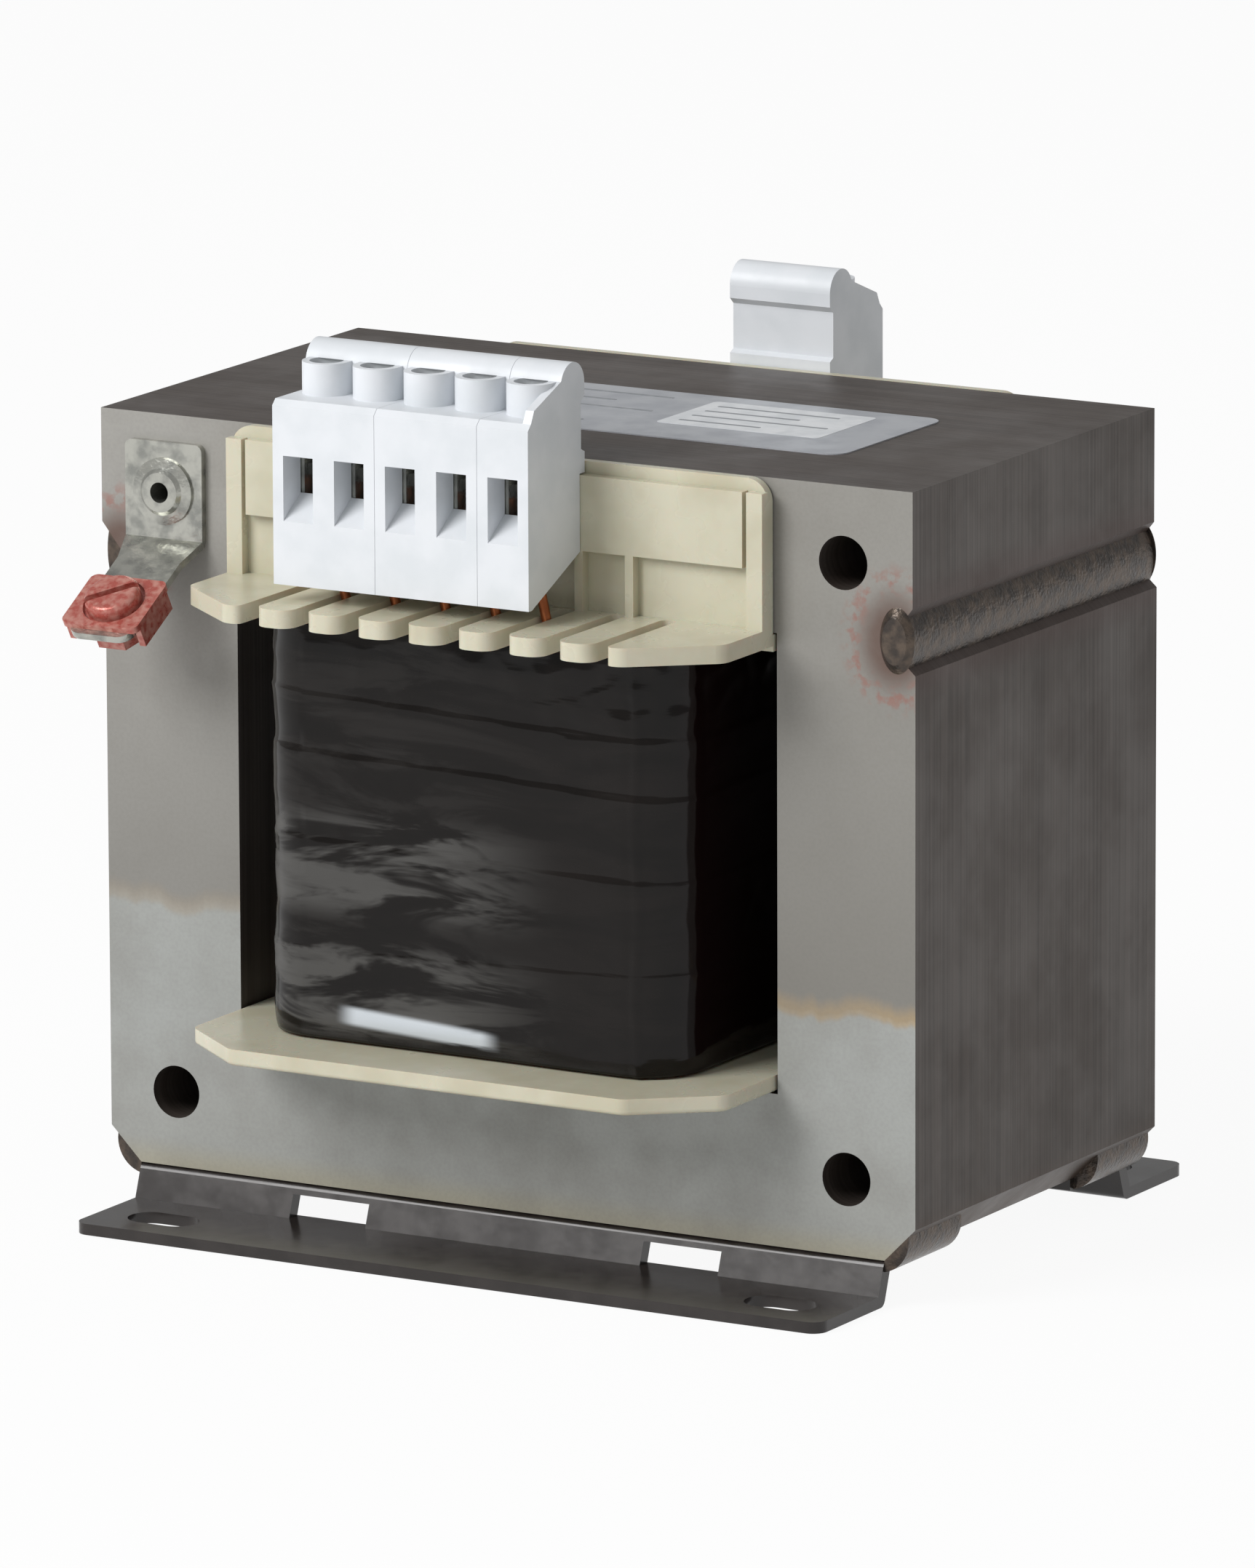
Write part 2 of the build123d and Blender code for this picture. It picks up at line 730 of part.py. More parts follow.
with BuildPart() as strap:
    with BuildSketch(Plane.XZ.offset(front)) as strap_face:
        with Locations((earth_x, (strap_fold + earth_z + strap_above) / 2)):
            Rectangle(strap_width, earth_z + strap_above - strap_fold)
        fillet(strap_face.vertices().group_by(Axis.Y)[-1], tab_corner / 2)
    extrude(amount=strap_sheet)
    with BuildSketch(tab_plane(0, -strap_sheet)) as tab_face:
        with BuildLine():
            Polyline(
                (-strap_width / 2, 0),
                (strap_width / 2, 0),
                (tab_width / 2, -(strap_width - tab_width) * 2),
                (tab_width / 2, -tab_length),
                (-tab_width / 2, -tab_length),
                (-tab_width / 2, -(strap_width - tab_width) * 2),
                close=True,
            )
        make_face()
        fillet(tab_face.vertices().group_by(Axis.Y)[0], tab_corner)
    extrude(amount=strap_sheet)
    with BuildSketch(Plane.YZ.offset(earth_x - strap_width / 2)):
        with BuildLine():
            corner = fold_point - tab_up * strap_sheet
            Polyline(
                (fold_point.Y, fold_point.Z),
                (corner.Y, corner.Z),
                (-front, strap_fold),
                close=True,
            )
        make_face()
    extrude(amount=strap_width)
    with BuildSketch(Plane.XZ.offset(front)):
        with Locations((earth_x, earth_z)):
            Circle(core_hole / 2)
    extrude(amount=strap_sheet, mode=Mode.SUBTRACT)
    with BuildSketch(tab_plane(tab_hole_along, -strap_sheet)):
        Circle(earth_thread / 2 + earth_thread_gap)
    extrude(amount=strap_sheet, mode=Mode.SUBTRACT)

save(strap.part, "earth_strap")

rivet_radius = core_hole / 2 - rivet_clearance
rivet_face = front + strap_sheet
with BuildPart() as rivet:
    with BuildSketch(Plane.YZ.offset(earth_x)):
        with BuildLine():
            Polyline(
                (-front + rivet_length, earth_z + rivet_bore / 2),
                (-front + rivet_length, earth_z + rivet_radius),
                (-rivet_face, earth_z + rivet_radius),
                (-rivet_face, earth_z + rivet_flange / 2),
                (-rivet_face - rivet_flange_height / 3, earth_z + rivet_flange / 2),
                (-rivet_face - rivet_flange_height * 0.6, earth_z + rivet_ring / 2 + 0.5),
                (-rivet_face - rivet_flange_height, earth_z + rivet_ring / 2),
                (-rivet_face - rivet_flange_height, earth_z + rivet_bore / 2),
                close=True,
            )
        make_face()
    revolve(axis=Axis((earth_x, 0, earth_z), (0, 1, 0)))

save(rivet.part, "earth_rivet")

clamp_inner = tab_width + 2 * clamp_gap
with BuildPart() as clamp:
    with BuildSketch(tab_plane(tab_hole_along, 0)):
        RectangleRounded(clamp_inner + 2 * clamp_sheet, clamp_length, tab_corner / 2)
    extrude(amount=clamp_sheet)
    with BuildSketch(tab_plane(tab_hole_along, 0)):
        with GridLocations(clamp_inner + clamp_sheet, 0, 2, 1):
            Rectangle(clamp_sheet, clamp_length - tab_corner)
    extrude(amount=-clamp_skirt)
    with BuildSketch(tab_plane(tab_hole_along, 0)):
        Circle(earth_thread / 2 + earth_thread_gap)
    extrude(amount=clamp_sheet, mode=Mode.SUBTRACT)
    with BuildSketch(tab_plane(tab_hole_along, clamp_sheet)):
        Circle(earth_head_diameter / 2 + clamp_dish)
    extrude(amount=-clamp_dish, mode=Mode.SUBTRACT)

save(clamp.part, "earth_clamp")

head_seat = clamp_sheet - clamp_dish
with BuildPart() as earth_screw:
    with BuildSketch(tab_plane(tab_hole_along, head_seat)):
        Circle(earth_head_diameter / 2)
    extrude(amount=earth_head_height)
    fillet(earth_screw.edges().filter_by(GeomType.CIRCLE).sort_by(Axis.Z)[-1], earth_head_height / 3)
    with BuildSketch(tab_plane(tab_hole_along, head_seat)):
        Circle(earth_thread / 2)
    extrude(amount=-(head_seat + strap_sheet + earth_nut_height))
    with BuildSketch(tab_plane(tab_hole_along, head_seat + earth_head_height - screw_slot_depth)):
        Rectangle(earth_head_diameter, screw_slot_width * 1.5, rotation=35)
    extrude(amount=screw_slot_depth, mode=Mode.SUBTRACT)

save(earth_screw.part, "earth_screw")

with BuildPart() as earth_nut:
    with BuildSketch(tab_plane(tab_hole_along, -strap_sheet)):
        RegularPolygon(earth_nut_width / 2, 6, major_radius=False)
        Circle(earth_thread / 2, mode=Mode.SUBTRACT)
    extrude(amount=-earth_nut_height)

save(earth_nut.part, "earth_nut")
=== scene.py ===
from math import cos, exp, pi, radians, sin, sqrt

import bpy
from mathutils import Matrix, Vector, noise


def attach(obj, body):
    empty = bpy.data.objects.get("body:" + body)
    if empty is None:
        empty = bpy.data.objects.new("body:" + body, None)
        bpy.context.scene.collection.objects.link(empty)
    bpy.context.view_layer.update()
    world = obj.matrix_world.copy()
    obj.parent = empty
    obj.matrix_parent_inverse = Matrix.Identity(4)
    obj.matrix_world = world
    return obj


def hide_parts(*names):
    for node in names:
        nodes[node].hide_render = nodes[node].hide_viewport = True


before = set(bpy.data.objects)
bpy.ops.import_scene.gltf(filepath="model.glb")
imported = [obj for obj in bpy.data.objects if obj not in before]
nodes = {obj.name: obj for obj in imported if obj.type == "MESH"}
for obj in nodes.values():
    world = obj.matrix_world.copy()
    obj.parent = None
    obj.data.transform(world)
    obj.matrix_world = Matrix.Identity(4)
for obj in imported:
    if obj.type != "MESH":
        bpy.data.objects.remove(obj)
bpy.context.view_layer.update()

# Lengths in millimetres, and their size in the scene's metres
MM = 0.001
CORE_TOP = 106.0
WELD_LEVEL = 86.7
WELD_REACH = 57.0
TIDE_LEVEL = 34.6
TIDE_WAVE = 7.0
LEFT_TIDE_RISE = 3.4


# Shader helpers

def new_material(name):
    mat = bpy.data.materials.new(name)
    mat.use_nodes = True
    return mat, mat.node_tree, mat.node_tree.nodes["Principled BSDF"]


def put(tree, socket, value):
    if isinstance(value, bpy.types.NodeSocket):
        tree.links.new(value, socket)
    else:
        socket.default_value = value


def add(tree, kind, inputs=(), out=0, **settings):
    node = tree.nodes.new(kind)
    for key, value in settings.items():
        setattr(node, key, value)
    for key, value in dict(inputs).items():
        put(tree, node.inputs[key], value)
    return node.outputs[out]


def calc(tree, operation, a, b=0.0):
    return add(tree, "ShaderNodeMath", {0: a, 1: b}, operation=operation)


def times(tree, a, b):
    return calc(tree, "MULTIPLY", a, b)


def blend(tree, factor, a, b):
    return add(tree, "ShaderNodeMix", {0: factor, 6: a, 7: b}, out=2, data_type="RGBA")


def step(tree, value, low, high, to_low=0.0, to_high=1.0):
    """Smooth change from to_low to to_high as value goes from low to high."""
    return add(
        tree, "ShaderNodeMapRange", {0: value, 1: low, 2: high, 3: to_low, 4: to_high},
        interpolation_type="SMOOTHSTEP",
    )


def place(tree):
    """The point in millimetres, and its three parts."""
    here = add(tree, "ShaderNodeTexCoord", out=3)
    scaled = add(tree, "ShaderNodeVectorMath", {0: here, 1: (1000, 1000, 1000)}, operation="MULTIPLY")
    split = tree.nodes.new("ShaderNodeSeparateXYZ")
    tree.links.new(scaled, split.inputs[0])
    return scaled, split.outputs[0], split.outputs[1], split.outputs[2]


def speckle(tree, where, size, detail=3.0, stretch=(1, 1, 1), rough=0.5, distort=0.0):
    """Noise of about that size in millimetres, from 0 to 1."""
    placed = add(tree, "ShaderNodeVectorMath", {0: where, 1: stretch}, operation="MULTIPLY")
    return add(
        tree, "ShaderNodeTexNoise",
        {"Vector": placed, "Scale": 1 / size, "Detail": detail, "Roughness": rough, "Distortion": distort},
    )


def bump(tree, height, distance, strength=1.0):
    return add(tree, "ShaderNodeBump", {"Height": height, "Distance": distance * MM, "Strength": strength})


def facing(tree):
    """How much the surface faces along each axis, without sign."""
    normal = add(tree, "ShaderNodeNewGeometry", out=3)
    flat = add(tree, "ShaderNodeVectorMath", {0: normal}, operation="ABSOLUTE")
    split = tree.nodes.new("ShaderNodeSeparateXYZ")
    tree.links.new(flat, split.inputs[0])
    return split.outputs


def colour(r, g, b):
    """A colour given in the 0 to 255 steps of a display."""
    return tuple(((c / 255 + 0.055) / 1.055) ** 2.4 if c > 10 else c / 3294.6 for c in (r, g, b)) + (1.0,)


def paint(mat, slot, *names):
    for name in names:
        node = nodes[name]
        node.data.materials.clear()
        node.data.materials.append(mat)


# Lamination stack: grey sheet faces, brown cut edges

def lamination():
    mat, tree, surface = new_material("lamination")
    where, x, y, z = place(tree)
    across = facing(tree)
    is_face = step(tree, across[1], 0.6, 0.8)
    cloud = speckle(tree, where, 14, 4, rough=0.6)
    fine = speckle(tree, where, 0.5, 2)
    height = step(tree, z, 36, 100)
    face = blend(tree, height, colour(138, 136, 131), colour(160, 158, 153))
    side_x = step(tree, x, -58, 58)
    face = blend(tree, times(tree, side_x, 0.35), face, colour(118, 115, 108))
    wave = speckle(tree, where, 9, 3, stretch=(1, 0.05, 0.05), rough=0.55)
    leg_lift = step(tree, x, -30, 30, LEFT_TIDE_RISE, 0.0)
    line = calc(tree, "ADD", times(tree, wave, TIDE_WAVE), calc(tree, "ADD", leg_lift, TIDE_LEVEL))
    above = calc(tree, "SUBTRACT", z, line)
    soft = step(tree, x, -40, 36, 1.6, 0.25)
    wet = step(tree, above, times(tree, soft, -1.0), soft)
    lower = blend(tree, step(tree, z, 6, 30), colour(163, 164, 160), colour(164, 166, 163))
    face = blend(tree, wet, lower, face)
    near_line = times(tree, step(tree, above, -1.2, -0.2), step(tree, above, 0.2, 2.6, 1.0, 0.0))
    tide = times(tree, near_line, step(tree, x, 0, 36, 0.25, 0.75))
    face = blend(tree, tide, face, colour(172, 150, 116))
    low_edge = step(tree, z, 6, 10, 0.55, 0.0)
    face = blend(tree, low_edge, face, colour(176, 168, 140))
    face = blend(tree, step(tree, cloud, 0.35, 0.75, 0.0, 0.35), face, colour(128, 125, 119))
    face = blend(tree, step(tree, fine, 0.35, 0.7, 0.0, 0.1), face, colour(110, 108, 104))
    rim_x = calc(tree, "SUBTRACT", calc(tree, "ABSOLUTE", x), WELD_REACH)
    rim_z = times(tree, calc(tree, "SUBTRACT", z, WELD_LEVEL), 0.8)
    square = calc(tree, "ADD", calc(tree, "POWER", rim_x, 2.0), calc(tree, "POWER", rim_z, 2.0))
    radius = calc(tree, "SQRT", square)
    heat = times(tree, step(tree, radius, 2.6, 6.8, 0.9, 0.0), step(tree, cloud, 0.2, 0.6, 0.6, 1.0))
    face = blend(tree, heat, face, colour(96, 72, 62))
    red = times(tree, step(tree, radius, 4.0, 6.0), step(tree, radius, 6.0, 8.5, 0.5, 0.0))
    red = times(tree, red, step(tree, speckle(tree, where, 1.4, 3), 0.45, 0.65))
    face = blend(tree, red, face, colour(150, 84, 68))

    sheets = speckle(tree, where, 0.55, 1, stretch=(0.01, 1, 0.01))
    bands = speckle(tree, where, 4, 3, stretch=(0.02, 1, 0.02))
    edge = blend(tree, step(tree, sheets, 0.3, 0.7), colour(64, 57, 52), colour(80, 72, 67))
    edge = blend(tree, step(tree, bands, 0.35, 0.7, 0.0, 0.35), edge, colour(92, 85, 80))
    from_weld = calc(tree, "ABSOLUTE", calc(tree, "SUBTRACT", z, WELD_LEVEL))
    joint_tint = step(tree, from_weld, 4.0, 9.0, 0.75, 0.0)
    joint_tint = times(tree, joint_tint, across[0])
    edge = blend(tree, joint_tint, edge, colour(70, 52, 46))
    rust = times(tree, step(tree, z, 7, 13, 0.7, 0.0), across[0])
    edge = blend(tree, rust, edge, colour(82, 62, 46))
    put(tree, surface.inputs["Base Color"], blend(tree, is_face, edge, face))
    put(tree, surface.inputs["Metallic"], step(tree, is_face, 0, 1, 0.25, 0.3))
    put(tree, surface.inputs["Roughness"], step(tree, cloud, 0.3, 0.7, 0.42, 0.56))
    relief = blend(tree, is_face, sheets, cloud)
    put(tree, surface.inputs["Normal"], bump(tree, relief, 0.05, 0.5))
    return mat


paint(lamination(), "lamination", "core_e_stack", "core_i_stack")


def plain(name, base, spots, size, rough=0.5, metallic=0.0, depth=0.02, stretch=(1, 1, 1), **extra):
    """A material of one colour with spots of another, and a fine relief."""
    mat, tree, surface = new_material(name)
    where = place(tree)[0]
    cloud = speckle(tree, where, size, 4, stretch)
    tone = blend(tree, step(tree, cloud, 0.35, 0.7), colour(*base), colour(*spots))
    put(tree, surface.inputs["Base Color"], tone)
    put(tree, surface.inputs["Roughness"], step(tree, cloud, 0.3, 0.7, rough * 0.85, rough * 1.15))
    put(tree, surface.inputs["Metallic"], metallic)
    put(tree, surface.inputs["Normal"], bump(tree, speckle(tree, where, size / 3, 2, stretch), depth))
    for key, value in extra.items():
        put(tree, surface.inputs[key.replace("_", " ")], value)
    return mat


weld = plain("weld", (64, 58, 54), (96, 84, 74), 1.5, 0.32, 0.6, 0.1)
paint(weld, "weld", "joint_weld_left", "joint_weld_right", "foot_welds")
foot_steel = plain("foot_steel", (38, 33, 31), (48, 43, 41), 4, 0.22, 0.1, 0.008)
paint(foot_steel, "foot_steel", "foot_front", "foot_rear")
ivory = plain(
    "bobbin", (203, 199, 178), (192, 187, 164), 8, 0.3, 0.0, 0.01,
    Subsurface_Weight=0.2, Subsurface_Scale=0.002,
)
paint(ivory, "bobbin_plastic", "bobbin")
copper = plain("copper", (176, 104, 64), (150, 84, 50), 2, 0.35, 0.8)
paint(copper, "copper", "secondary_winding", "primary_winding", "winding_leads_front", "winding_leads_rear")
insulation = plain("insulation", (196, 178, 138), (180, 160, 120), 3, 0.6)
paint(insulation, "insulation", "interlayer_insulation")
terminal = plain("terminal", (222, 225, 229), (214, 218, 222), 6, 0.42, 0.0, 0.01)
front_housings = [f"terminal_block_front_{place_name}" for place_name in ("left", "middle", "right")]
paint(terminal, "terminal_plastic", *front_housings, "terminal_block_rear")
zinc = plain("zinc", (182, 182, 174), (142, 143, 138), 2.2, 0.24, 0.85, 0.05)
paint(zinc, "zinc", "clamp_cages_front", "clamp_cages_rear", "clamp_screws_front", "clamp_screws_rear")
paint(zinc, "zinc", "earth_strap", "earth_rivet")
red_metal = plain("red_metal", (172, 86, 76), (196, 138, 126), 1.0, 0.3, 0.3, 0.04)
paint(red_metal, "red_metal", "earth_clamp", "earth_screw", "earth_nut")


def film():
    """Black varnished tape: grey streaks of painted reflection, a painted highlight low on the front, faint
    turns and a warm tone in the shade.
    """
    mat, tree, surface = new_material("wrap_film")
    where, x, y, z = place(tree)
    streak = speckle(tree, where, 5.5, 4, stretch=(0.22, 0.22, 1.0), rough=0.62, distort=0.8)
    smear = speckle(tree, where, 2.2, 3, stretch=(0.14, 0.14, 1.0), rough=0.6)
    left = step(tree, x, -6, 16, 1.0, 0.0)
    # Painted reflection: grey streaks in two bands on the left part of the tape.
    upper_band = times(tree, step(tree, z, 44, 48), step(tree, z, 56, 60, 1.0, 0.0))
    lower_band = times(tree, step(tree, z, 29, 31), step(tree, z, 40, 43, 1.0, 0.0))
    band = calc(tree, "MAXIMUM", upper_band, lower_band)
    band = times(tree, calc(tree, "ADD", times(tree, band, 0.9), 0.1), left)
    painted_sheen = times(tree, step(tree, streak, 0.44, 0.56), band)
    painted_sheen = times(tree, painted_sheen, step(tree, smear, 0.3, 0.55, 0.55, 1.0))
    base = blend(tree, step(tree, streak, 0.3, 0.7), colour(14, 11, 9), colour(24, 20, 18))
    base = blend(tree, step(tree, calc(tree, "ABSOLUTE", x), 29.5, 31.2), base, colour(18, 8, 8))
    # Painted highlight: a pale spot where the varnish gathered low on the front, painted as if it caught the
    # light.
    highlight_z = calc(tree, "SUBTRACT", z, calc(tree, "ADD", times(tree, x, -0.055), 31.3))
    highlight_x = calc(tree, "ABSOLUTE", calc(tree, "ADD", x, 6.5))
    along = step(tree, highlight_x, 9.0, 12.5, 1.0, 0.0)
    pool_and_highlight = times(tree, step(tree, calc(tree, "ABSOLUTE", highlight_z), 0.7, 1.5, 1.0, 0.0), along)
    pool_and_highlight = times(tree, pool_and_highlight, step(tree, streak, 0.4, 0.5))
    pool_and_highlight = times(tree, pool_and_highlight, step(tree, y, -20, -30))
    # The painted reflection lightens the black tape towards grey.
    tone = blend(tree, times(tree, painted_sheen, 0.8), base, colour(84, 83, 81))
    # The painted highlight is laid over the tape's colour.
    put(tree, surface.inputs["Base Color"], blend(tree, pool_and_highlight, tone, colour(196, 202, 208)))
    put(tree, surface.inputs["Roughness"], step(tree, painted_sheen, 0, 1, 0.12, 0.34))
    put(tree, surface.inputs["IOR"], 1.3)
    put(tree, surface.inputs["Normal"], bump(tree, smear, 0.12, 0.35))
    return mat


# Outer wrap of the coil: turns of wide tape with overlaps, creases and a gathered right edge

def make_wrap():
    half_x, half_y, corner = 31.25, 43.75, 8.0
    low, high = 28.75, 83.25
    around, rows = 620, 140
    straight_x, straight_y = 2 * (half_x - corner), 2 * (half_y - corner)
    arc = pi * corner / 2
    total = 2 * (straight_x + straight_y) + 4 * arc

    def outline(distance):
        runs = (
            ((-half_x + corner, -half_y), (1, 0), straight_x),
            ((half_x, -half_y + corner), (0, 1), straight_y),
            ((half_x - corner, half_y), (-1, 0), straight_x),
            ((-half_x, half_y - corner), (0, -1), straight_y),
        )
        for (sx, sy), (dx, dy), length in runs:
            if distance < length:
                return sx + dx * distance, sy + dy * distance, dy, -dx
            distance -= length
            if distance < arc:
                turn = distance / corner
                ex, ey = sx + dx * length, sy + dy * length
                nx, ny = dy, -dx
                cx, cy = ex - nx * corner, ey - ny * corner
                ox = nx * cos(turn) + dx * sin(turn)
                oy = ny * cos(turn) + dy * sin(turn)
                return cx + ox * corner, cy + oy * corner, ox, oy
            distance -= arc
        return runs[0][0][0], runs[0][0][1], 0, -1

    tape_edges = ((74.5, -0.035, 0.22), (66.8, -0.03, 0.2), (55.2, -0.02, 0.16), (40.5, 0.02, 0.18))

    def relief(x, y, z, distance):
        """How far the tape stands out at a point: edges, waves, crumples, a fold and a varnish run."""
        lift = 0.0
        for edge, slope, depth in tape_edges:
            gap = z - (edge + slope * (x + 30) + 0.5 * noise.noise(Vector((distance * 0.05, edge, 0))))
            lift += depth * (0.5 - 0.5 * (gap / sqrt(gap * gap + 0.02))) * exp(-abs(gap) / 5.0)
        lift += 0.34 * noise.noise(Vector((distance * 0.035, z * 0.10, 3.1)))
        lift += 0.16 * noise.noise(Vector((distance * 0.07, z * 0.30, 7.7)))
        crumple = max(0.0, noise.noise(Vector((distance * 0.05, z * 0.06, 21.0))))
        lift += 0.22 * crumple * (1 - 2 * abs(noise.noise(Vector((distance * 0.22, z * 0.34, 5.5)))))
        top = exp(-((z - 79.5) / 4.0) ** 2)
        lift += 0.22 * top * (1 - 2 * abs(noise.noise(Vector((distance * 0.16, z * 0.22, 9.5)))))
        fold = x - (25.6 + 0.35 * noise.noise(Vector((z * 0.09, 1.0, 2.0))))
        if y < 0:
            lift += 0.42 * exp(-(fold / 0.55) ** 2) * (0.7 + 0.5 * noise.noise(Vector((z * 0.2, 4.0, 0))))
            # Raised varnish low on the front; the tape material paints a highlight on the same place.
            pool_and_highlight = exp(-((z - 31.6 + 0.02 * (x + 10)) / 1.5) ** 2) * exp(-((x + 6.0) / 12.0) ** 2)
            lift += 0.55 * pool_and_highlight
        return lift

    points, faces = [], []
    for row in range(rows + 1):
        share = row / rows
        z = low + (high - low) * share
        tuck = 0.3 * exp(-(z - low) / 0.8) + 0.25 * exp(-(high - z) / 0.9)
        for step_at in range(around):
            distance = total * step_at / around
            x, y, nx, ny = outline(distance)
            lift = relief(x, y, z, distance) - tuck
            points.append(((x + nx * lift) * MM, (y + ny * lift) * MM, z * MM))
    for row in range(rows):
        for step_at in range(around):
            after = (step_at + 1) % around
            below, above = row * around, (row + 1) * around
            faces.append((below + step_at, below + after, above + after, above + step_at))
    wall = 1.6
    inner = []
    for z in (low, high):
        inner.append(len(points))
        for step_at in range(around):
            x, y, nx, ny = outline(total * step_at / around)
            points.append(((x - nx * wall) * MM, (y - ny * wall) * MM, z * MM))
    for step_at in range(around):
        after = (step_at + 1) % around
        faces.append((after, step_at, inner[0] + step_at, inner[0] + after))
        top_row = rows * around
        faces.append((top_row + step_at, top_row + after, inner[1] + after, inner[1] + step_at))
        faces.append((inner[0] + after, inner[0] + step_at, inner[1] + step_at, inner[1] + after))
    mesh = bpy.data.meshes.new("tape_wrap")
    mesh.from_pydata(points, [], faces)
    for face in mesh.polygons:
        face.use_smooth = True
    wrap = bpy.data.objects.new("tape_wrap", mesh)
    bpy.context.scene.collection.objects.link(wrap)
    mesh.materials.append(film())
    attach(wrap, "root")
    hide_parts("coil_wrap")


make_wrap()


# Rating plate: a bare silver plate with pale fields

def plate_outline(half_x, half_y, corner, count=6):
    points = []
    for cx, cy, start in ((1, 1, 0), (-1, 1, 90), (-1, -1, 180), (1, -1, 270)):
        for k in range(count + 1):
            turn = radians(start + 90 * k / count)
            x = cx * (half_x - corner) + corner * cos(turn)
            y = cy * (half_y - corner) + corner * sin(turn)
            points.append((x, y))
    return points


def make_plate(name, centre, half, corner, low, high, mat):
    outline = plate_outline(half[0], half[1], corner)
    count = len(outline)
    points = [((centre[0] + x) * MM, (centre[1] + y) * MM, z * MM) for z in (low, high) for x, y in outline]
    faces = [tuple(reversed(range(count))), tuple(range(count, 2 * count))]
    faces += [(k, (k + 1) % count, count + (k + 1) % count, count + k) for k in range(count)]
    mesh = bpy.data.meshes.new(name)
    mesh.from_pydata(points, [], faces)
    mesh.materials.append(mat)
    plate = bpy.data.objects.new(name, mesh)
    bpy.context.scene.collection.objects.link(plate)
    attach(plate, "root")
    return plate


plate_foil = plain("plate_foil", (186, 189, 194), (172, 175, 181), 5, 0.38, 0.35, 0.01)
pale_print = plain("pale_print", (222, 224, 226), (208, 211, 214), 3, 0.5)
grey_print = plain("grey_print", (128, 132, 136), (150, 153, 156), 1.5, 0.5)
plate_top = CORE_TOP + 0.15
field_top = CORE_TOP + 0.18
make_plate("rating_plate", (0, -2), (40, 14), 2.5, CORE_TOP, plate_top, plate_foil)
make_plate("plate_field", (20, 0.5), (12, 8), 0.8, plate_top, field_top, pale_print)
row_start, row_top, row_pitch = -34, 8.0, 4.6
for number, width in enumerate((36, 30, 38, 26, 33)):
    centre = (row_start + width / 2, row_top - row_pitch * number)
    make_plate(f"plate_row_{number}", centre, (width / 2, 0.35), 0.2, plate_top, CORE_TOP + 0.17, grey_print)
field_start, field_row_top, field_row_pitch = 10, 5.5, 3.4
for number, width in enumerate((18, 14, 20, 12)):
    centre = (field_start + width / 2, field_row_top - field_row_pitch * number)
    make_plate(f"field_row_{number}", centre, (width / 2, 0.3), 0.2, field_top, CORE_TOP + 0.2, grey_print)


# Camera at the photograph's place

def make_camera():
    azimuth, elevation, roll = radians(29.899), radians(12.163), radians(-0.23)
    back = Vector((sin(azimuth) * cos(elevation), -cos(azimuth) * cos(elevation), sin(elevation)))
    right = Vector((cos(azimuth), sin(azimuth), 0))
    up = back.cross(right)
    turned_right = right * cos(roll) + up * sin(roll)
    turned_up = up * cos(roll) - right * sin(roll)
    aim = Vector((0, -2.5, 56)) + right * 0.731 + up * 0.626
    spot = (aim + back * 1945.27) * MM
    data = bpy.data.cameras.new("camera")
    data.sensor_fit = "HORIZONTAL"
    data.sensor_width = 36.0
    data.lens = 20563 * 36 / 1725
    data.clip_start = 0.1
    data.clip_end = 30
    camera = bpy.data.objects.new("camera", data)
    bpy.context.scene.collection.objects.link(camera)
    camera.matrix_world = Matrix((
        (turned_right.x, turned_up.x, back.x, spot.x),
        (turned_right.y, turned_up.y, back.y, spot.y),
        (turned_right.z, turned_up.z, back.z, spot.z),
        (0, 0, 0, 1),
    ))
    bpy.context.scene.camera = camera


make_camera()


# Floor, world and lamps

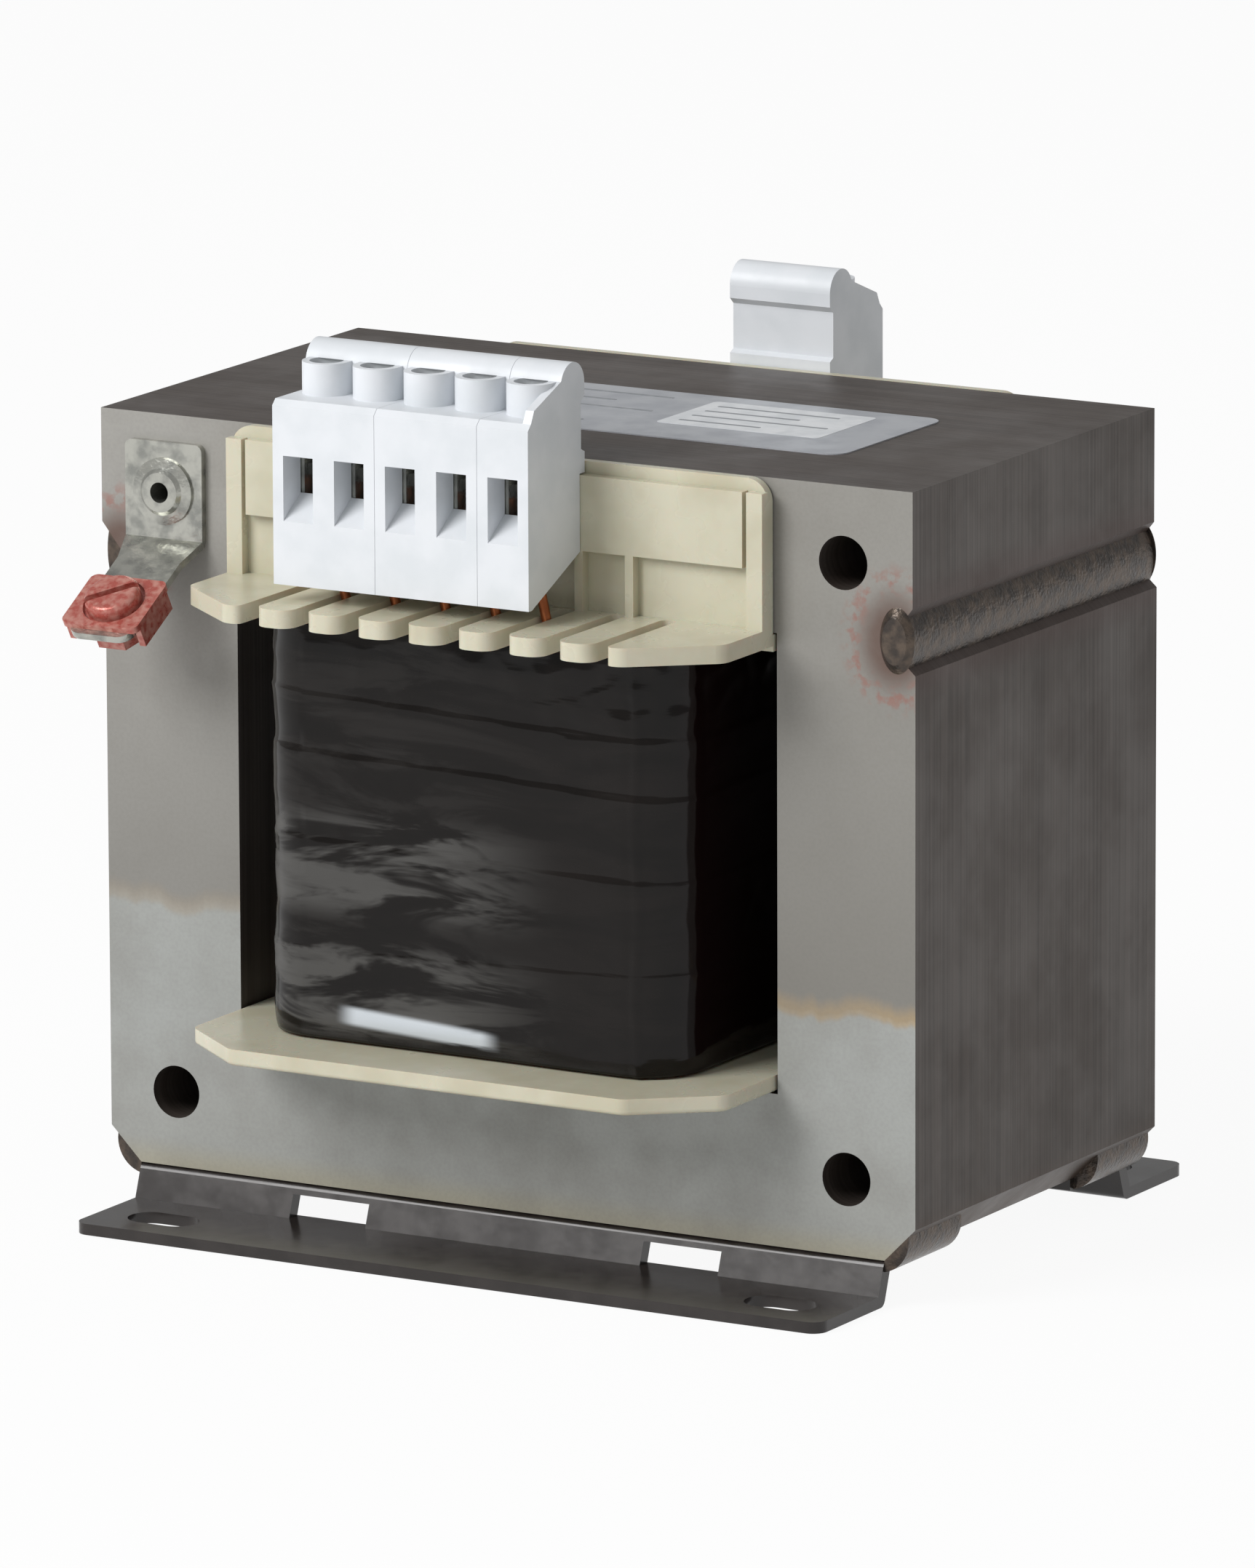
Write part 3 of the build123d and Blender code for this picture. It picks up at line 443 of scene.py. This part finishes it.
def make_floor():
    mesh = bpy.data.meshes.new("floor")
    reach, level = 9, -0.0001
    corners = [(-reach, -reach, level), (reach, -reach, level), (reach, reach, level), (-reach, reach, level)]
    mesh.from_pydata(corners, [], [(0, 1, 2, 3)])
    floor_object = bpy.data.objects.new("floor", mesh)
    bpy.context.scene.collection.objects.link(floor_object)
    mat, tree, surface = new_material("floor")
    put(tree, surface.inputs["Base Color"], (0.86, 0.86, 0.86, 1))
    put(tree, surface.inputs["Roughness"], 0.9)
    glow = add(tree, "ShaderNodeEmission", {"Color": (1, 1, 1, 1), "Strength": 1.0})
    path = tree.nodes.new("ShaderNodeLightPath")
    seen = calc(tree, "MAXIMUM", path.outputs["Is Camera Ray"], path.outputs["Is Glossy Ray"])
    seen = calc(tree, "MAXIMUM", seen, path.outputs["Is Transmission Ray"])
    share = times(tree, seen, 0.93)
    mixed = add(tree, "ShaderNodeMixShader", {0: share, 1: surface.outputs[0], 2: glow})
    tree.links.new(mixed, tree.nodes["Material Output"].inputs["Surface"])
    mesh.materials.append(mat)


def make_world():
    world = bpy.data.worlds.new("world")
    bpy.context.scene.world = world
    world.use_nodes = True
    tree = world.node_tree
    path = tree.nodes.new("ShaderNodeLightPath")
    seen = calc(tree, "MAXIMUM", path.outputs["Is Camera Ray"], path.outputs["Is Transmission Ray"])
    strength = step(tree, seen, 0, 1, 0.42, 1.0)
    put(tree, tree.nodes["Background"].inputs["Color"], (1, 1, 1, 1))
    put(tree, tree.nodes["Background"].inputs["Strength"], strength)


def make_lamp(name, spot, aim, size, power):
    data = bpy.data.lights.new(name, "AREA")
    data.shape = "RECTANGLE"
    data.size, data.size_y = size
    data.energy = power
    lamp = bpy.data.objects.new(name, data)
    bpy.context.scene.collection.objects.link(lamp)
    lamp.location = spot
    lamp.rotation_euler = (Vector(aim) - Vector(spot)).to_track_quat("-Z", "Y").to_euler()


make_floor()
make_world()
make_lamp("key", (-0.7, -1.3, 1.1), (0, 0, 0.05), (0.9, 0.9), 26)


# Softly rounded edges on the moulded and folded pieces

def soften(width, *names):
    for name in names:
        rounding = nodes[name].modifiers.new("edges", "BEVEL")
        rounding.width = width * MM
        rounding.segments = 3
        rounding.limit_method = "ANGLE"
        rounding.angle_limit = radians(50)


soften(0.3, *front_housings, "terminal_block_rear")
soften(0.45, "bobbin")
soften(0.2, "earth_clamp", "foot_front", "foot_rear", "earth_strap")

bpy.context.scene.view_settings.view_transform = "Standard"
